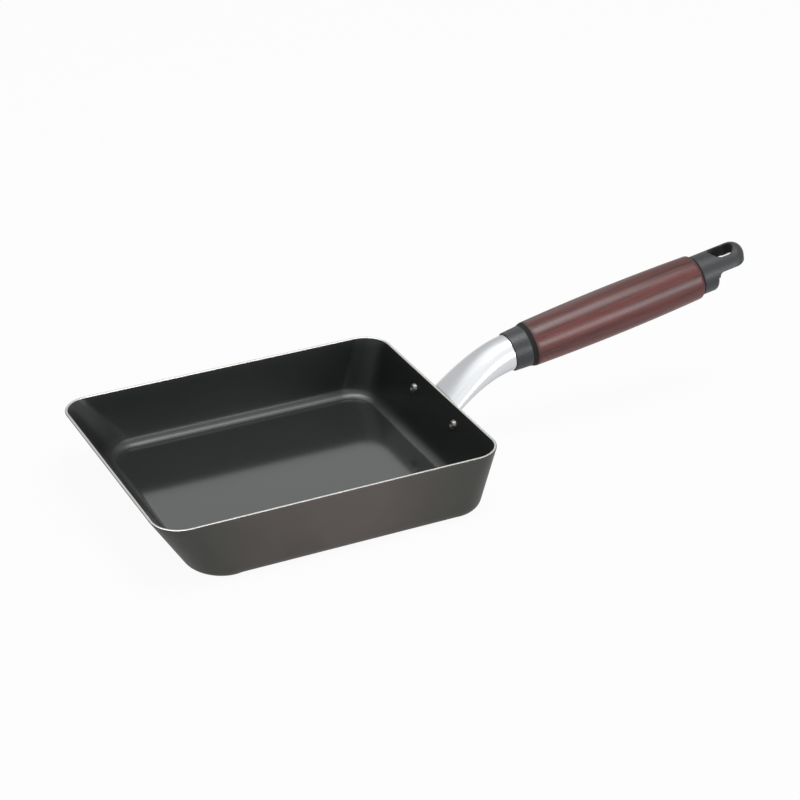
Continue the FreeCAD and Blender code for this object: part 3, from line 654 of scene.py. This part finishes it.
# Rivets: turned once, then set in a row along the handle wall
rivet = {"shankRadius": 2.0, "headRadius": 2.8, "headHeight": 2.2, "dimpleRadius": 1.7, "dimpleDepth": 1.2,
         "tailRadius": 3.2, "tailHeight": 1.5, "headSteps": 20, "tailSteps": 10, "around": 40, "sharpAngle": 50}
headSphere = (rivet["headRadius"] ** 2 + rivet["headHeight"] ** 2) / (2 * rivet["headHeight"])
tailSphere = (rivet["tailRadius"] ** 2 + rivet["tailHeight"] ** 2) / (2 * rivet["tailHeight"])
headFace, tailFace = -pan["wall"], bracket["flangeThickness"]
outline = []
for step in range(rivet["headSteps"] + 1):  # domed head, from its punched middle to its edge
    radius = rivet["headRadius"] * step / rivet["headSteps"]
    dome = rivet["headHeight"] - headSphere + math.sqrt(headSphere ** 2 - radius ** 2)
    nearness = max(0.0, 1 - (radius / rivet["dimpleRadius"]) ** 2)
    outline.append((headFace - dome + rivet["dimpleDepth"] * nearness ** 2, radius))
outline += [(headFace, rivet["shankRadius"]), (tailFace, rivet["shankRadius"])]
for step in range(rivet["tailSteps"] + 1):
    radius = rivet["tailRadius"] * (1 - step / rivet["tailSteps"])
    outline.append((tailFace + rivet["tailHeight"] - tailSphere + math.sqrt(tailSphere ** 2 - radius ** 2), radius))
bm = bmesh.new()
addShell(bm, turnedRings(outline, rivet["around"]), Matrix.Scale(1 / mm, 4))
rivetSeed = closeMesh(bm, "rivetSeed", rivet["sharpAngle"])
rivetRow = {"Count": 2, "Spacing": bracket["rivetSpacing"], "Place": wallPlace.translation * mm,
            "Turn": Vector((0, handleWall["lean"], 0)), "Material": rivetMetal}
tree, given = newTree("rivetRow", rivetRow)
step = addNode(tree, "ShaderNodeCombineXYZ", {"Y": given["Spacing"]}).outputs[0]
gaps = addNode(tree, "ShaderNodeMath", {0: given["Count"], 1: 1.0}, operation="SUBTRACT").outputs[0]
span = addNode(tree, "ShaderNodeMath", {0: gaps, 1: given["Spacing"]}, operation="MULTIPLY").outputs[0]
half = addNode(tree, "ShaderNodeMath", {0: span, 1: -0.5}, operation="MULTIPLY").outputs[0]
first = addNode(tree, "ShaderNodeCombineXYZ", {"Y": half}).outputs[0]
row = addNode(tree, "GeometryNodeMeshLine", {"Count": given["Count"], "Start Location": first, "Offset": step})
rivets = addNode(tree, "GeometryNodeInstanceOnPoints", {"Points": row.outputs[0], "Instance": given["Geometry"]})
endTree(tree, rivets.outputs[0], given)
rivetMesh = growMesh("rivets", tree, rivetRow, rivetSeed)
showPiece("rivets", rivetMesh, (), "rivet_aluminium", "rivet_left", "rivet_right")


# Grip: turned hardwood, its belly an arc through three diameters, bored for the screw and mortised for both tenons
grip = {"Length": 105.7, "Front Diameter": 24.7, "Belly Station": 51.6, "Belly Diameter": 26.8, "Rear Diameter": 25.0,
        "Front Rounding": 0.6, "Rear Rounding": 2.0, "Bore Diameter": 6.6, "Mortise Diameter": 15.2,
        "Front Mortise": 6.3, "Rear Mortise": 8.3, "Steps Along": 120, "Steps Around": 96, "Material": wood,
        "Place": handlePlace @ Vector((lipEnd, 0, 0)) * mm, "Turn": Vector((0, -handle["slope"], 0))}
gripSharpAngle = 35
tree, given = newTree("turnedGrip", grip)
radii = {}
for label in ("Front", "Belly", "Rear", "Bore", "Mortise"):
    diameter = given[label + " Diameter"]
    radii[label] = addNode(tree, "ShaderNodeMath", {0: diameter, 1: 0.5}, operation="MULTIPLY").outputs[0]
stations = {"Front": 0.0, "Belly": given["Belly Station"], "Rear": given["Length"]}
marks = []
for label, station in stations.items():
    marks.append(addNode(tree, "ShaderNodeCombineXYZ", {"X": station, "Y": radii[label]}).outputs[0])
belly = addNode(tree, "GeometryNodeCurveArc", {
    "Resolution": 128, "Start": marks[0], "Middle": marks[1], "End": marks[2]}, mode="POINTS")
axis = addNode(tree, "GeometryNodeCurvePrimitiveLine", {"End": (1.0, 0.0, 0.0)})
spaced = addNode(tree, "GeometryNodeResampleCurve", {"Curve": axis.outputs[0], "Count": given["Steps Along"]})
along = addNode(tree, "GeometryNodeSplineParameter").outputs["Factor"]
turn = addNode(tree, "ShaderNodeMath", {0: along, 1: math.pi}, operation="MULTIPLY").outputs[0]
swing = addNode(tree, "ShaderNodeMath", {0: turn}, operation="COSINE").outputs[0]  # closer steps towards both ends
share = addNode(tree, "ShaderNodeMapRange", {"Value": swing, "From Min": 1.0, "From Max": -1.0}).outputs[0]
station = addNode(tree, "ShaderNodeMath", {0: share, 1: given["Length"]}, operation="MULTIPLY").outputs[0]
point = addNode(tree, "ShaderNodeCombineXYZ", {"X": station}).outputs[0]
line = addNode(tree, "GeometryNodeSetPosition", {"Geometry": spaced.outputs[0], "Position": point})
profile = addNode(tree, "GeometryNodeSampleCurve", {"Curves": belly.outputs[0], "Factor": along}, mode="FACTOR")
radius = addNode(tree, "ShaderNodeSeparateXYZ", {0: profile.outputs["Position"]}).outputs["Y"]
fromFront = addNode(tree, "ShaderNodeMath", {0: along, 1: given["Length"]}, operation="MULTIPLY").outputs[0]
fromRear = addNode(tree, "ShaderNodeMath", {0: given["Length"], 1: fromFront}, operation="SUBTRACT").outputs[0]
for label, distance in (("Front", fromFront), ("Rear", fromRear)):  # rounds each end: edge - sqrt(edge^2 - depth^2)
    edge = given[label + " Rounding"]
    depth = addNode(tree, "ShaderNodeMath", {0: edge, 1: distance}, operation="SUBTRACT").outputs[0]
    inEdge = addNode(tree, "ShaderNodeMath", {0: depth, 1: 0.0}, operation="MAXIMUM").outputs[0]
    depthSquare = addNode(tree, "ShaderNodeMath", {0: inEdge, 1: 2.0}, operation="POWER").outputs[0]
    edgeSquare = addNode(tree, "ShaderNodeMath", {0: edge, 1: 2.0}, operation="POWER").outputs[0]
    left = addNode(tree, "ShaderNodeMath", {0: edgeSquare, 1: depthSquare}, operation="SUBTRACT").outputs[0]
    height = addNode(tree, "ShaderNodeMath", {0: left}, operation="SQRT").outputs[0]
    drop = addNode(tree, "ShaderNodeMath", {0: edge, 1: height}, operation="SUBTRACT").outputs[0]
    radius = addNode(tree, "ShaderNodeMath", {0: radius, 1: drop}, operation="SUBTRACT").outputs[0]
circle = addNode(tree, "GeometryNodeCurvePrimitiveCircle", {"Resolution": given["Steps Around"], "Radius": 1.0})
blank = addNode(tree, "GeometryNodeCurveToMesh", {
    "Curve": line.outputs[0], "Profile Curve": circle.outputs[0], "Scale": radius, "Fill Caps": True})
bored = blank.outputs[0]
for label, width, depth in (("Front", "Mortise", given["Front Mortise"]), ("Rear", "Mortise", given["Rear Mortise"]),
                            ("Front", "Bore", given["Length"])):
    doubled = addNode(tree, "ShaderNodeMath", {0: depth, 1: 2.0}, operation="MULTIPLY").outputs[0]  # half is in the air
    drill = addNode(tree, "GeometryNodeMeshCylinder", {
        "Vertices": given["Steps Around"], "Radius": radii[width], "Depth": doubled})
    reach = addNode(tree, "ShaderNodeCombineXYZ", {"X": stations[label]}).outputs[0]
    aimed = addNode(tree, "GeometryNodeTransform", {
        "Geometry": drill.outputs["Mesh"], "Translation": reach, "Rotation": (0.0, math.pi / 2, 0.0)})
    bored = addNode(tree, "GeometryNodeMeshBoolean", {"Mesh 1": bored, "Mesh 2": aimed.outputs[0]},
                    operation="DIFFERENCE").outputs[0]
endTree(tree, bored, given)
gripMesh = growMesh("grip", tree, grip)
gripMesh.shade_smooth()
gripMesh.set_sharp_from_angle(angle=math.radians(gripSharpAngle))
showPiece("grip", gripMesh, (), "lacquered_wood", "wooden_grip")

# Cap, screw and washers keep their solids
solidLooks = {"end_cap": phenolic, "tie_screw": zincSteel, "flat_washer": zincSteel, "spring_washer": zincSteel}
for node, material in solidLooks.items():
    solid = frame["nodes"][node]
    solid.data.materials.clear()
    solid.data.materials.append(material)
print("cap, screw and washers dressed")

# Stage: white paper floor that keeps a light shadow, under a white studio; what metal and coats mirror of the studio
# is dim low down at the back, bright at the front and brightest in a soft patch overhead at the left
stage = {"size": 8.0, "cells": 8, "drop": 0.2, "paper": "#dedede", "wash": 0.94, "mirroredWash": 0.35, "skyLight": 0.5,
         "brightWay": (0.0, -0.45, 0.9), "dimFrom": 0.15, "brightFrom": 0.9, "dimLevel": 0.62, "brightLevel": 1.08,
         "patchWay": (-0.366, 0.211, 0.906), "patchFrom": 0.906, "patchTo": 0.978, "patchLevel": 0.2}
white = (1.0, 1.0, 1.0, 1.0)
paper, tree, shader = newMaterial("whitePaper", {
    "Base Color": hexColour(stage["paper"]), "Roughness": 0.9, "Specular IOR Level": 0.1})
light = addNode(tree, "ShaderNodeLightPath").outputs
mirrored = addNode(tree, "ShaderNodeMath", {0: light["Is Glossy Ray"], 1: stage["mirroredWash"]},
                   operation="MULTIPLY").outputs[0]
wash = addNode(tree, "ShaderNodeMath", {0: light["Is Camera Ray"], 1: stage["wash"], 2: mirrored},
               operation="MULTIPLY_ADD").outputs[0]
glow = addNode(tree, "ShaderNodeEmission", {"Color": white, "Strength": 1.0}).outputs[0]
mixed = addNode(tree, "ShaderNodeMixShader", {0: wash, 1: shader.outputs[0], 2: glow}).outputs[0]
tree.links.new(mixed, tree.nodes["Material Output"].inputs["Surface"])
bm = bmesh.new()
bmesh.ops.create_grid(bm, x_segments=stage["cells"], y_segments=stage["cells"], size=stage["size"] / 2,
                      matrix=Matrix.Translation((0, 0, -stage["drop"] * mm)))
floorMesh = bpy.data.meshes.new("floor")
bm.to_mesh(floorMesh)
bm.free()
floorMesh.materials.append(paper)
floor = bpy.data.objects.new("floor", floorMesh)
scene.collection.objects.link(floor)

world = bpy.data.worlds.new("studio")
world.use_nodes = True
scene.world = world
tree = world.node_tree
light = addNode(tree, "ShaderNodeLightPath").outputs
seen = addNode(tree, "ShaderNodeMath", {0: light["Is Camera Ray"], 1: light["Is Glossy Ray"]},
               operation="MAXIMUM").outputs[0]
shown = addNode(tree, "ShaderNodeMath", {0: seen, 1: light["Is Transmission Ray"]}, operation="MAXIMUM").outputs[0]
outwards = addNode(tree, "ShaderNodeTexCoord").outputs["Generated"]
brightness = addNode(tree, "ShaderNodeVectorMath", {0: outwards, 1: stage["brightWay"]},
                     operation="DOT_PRODUCT").outputs["Value"]
side = addNode(tree, "ShaderNodeMapRange", {
    "Value": brightness, "From Min": stage["dimFrom"], "From Max": stage["brightFrom"],
    "To Min": stage["dimLevel"], "To Max": stage["brightLevel"]}).outputs[0]
nearPatch = addNode(tree, "ShaderNodeVectorMath", {0: outwards, 1: stage["patchWay"]},
                    operation="DOT_PRODUCT").outputs["Value"]
patch = addNode(tree, "ShaderNodeMapRange", {
    "Value": nearPatch, "From Min": stage["patchFrom"], "From Max": stage["patchTo"],
    "To Max": stage["patchLevel"]}).outputs[0]
sky = addNode(tree, "ShaderNodeMath", {0: side, 1: patch}, operation="ADD").outputs[0]
bounced = addNode(tree, "ShaderNodeMix", {0: light["Is Glossy Ray"], 2: 1.0, 3: sky}).outputs[0]
level = addNode(tree, "ShaderNodeMix", {0: shown, 2: stage["skyLight"], 3: bounced}).outputs[0]
tree.links.new(level, tree.nodes["Background"].inputs["Strength"])
tree.nodes["Background"].inputs["Color"].default_value = white

# Softboxes: one overhead and a low one before the handle. Two white cards, at the left and at the back, light nothing:
# they only show as reflections, in everything but the neck
softboxes = {
    "overhead": {"from": (0.22, -0.19, 1.4), "to": (0.2, 0.0, 0.0), "size": (0.7, 0.6), "power": 8.0, "card": False},
    "left": {"from": (-0.38, 0.17, 1.4), "to": (-0.38, 0.17, 0.0), "size": (0.5, 0.95), "power": 12.0, "card": True},
    "front": {"from": (0.6, -1.45, 0.33), "to": (0.15, 0.0, 0.05), "size": (1.2, 0.5), "power": 10.0, "card": False},
    "back": {"from": (0.195, 0.4, 0.28), "to": (0.0, 0.0, 0.0), "size": (0.3, 0.22), "power": 0.125, "card": True}}
allButNeck = bpy.data.collections.new("allButNeck")
for thing in scene.collection.all_objects:
    if thing.type == "MESH" and thing != neck:
        allButNeck.objects.link(thing)
for name, box in softboxes.items():
    lamp = bpy.data.lights.new(name, "AREA")
    lamp.shape = "RECTANGLE"
    lamp.size, lamp.size_y = box["size"]
    lamp.energy = box["power"]
    holder = bpy.data.objects.new(name, lamp)
    holder.location = box["from"]
    holder.rotation_euler = (Vector(box["to"]) - Vector(box["from"])).to_track_quat("-Z", "Y").to_euler()
    if box["card"]:
        holder.visible_diffuse = False
        holder.light_linking.receiver_collection = allButNeck
    scene.collection.objects.link(holder)

# Camera: long lens, from the left front and above
view = {"eye": (-414.75, -983.28, 617.63), "aim": (59.51, -21.64, 46.71), "lens": 106.156, "sensor": 36.0}
camera = bpy.data.cameras.new("camera")
camera.lens, camera.sensor_width = view["lens"], view["sensor"]
cameraHolder = bpy.data.objects.new("camera", camera)
cameraHolder.location = Vector(view["eye"]) * mm
cameraHolder.rotation_euler = (Vector(view["aim"]) - Vector(view["eye"])).to_track_quat("-Z", "Y").to_euler()
scene.collection.objects.link(cameraHolder)
scene.camera = cameraHolder
scene.view_settings.view_transform = "Standard"
print("stage, lights and camera set")
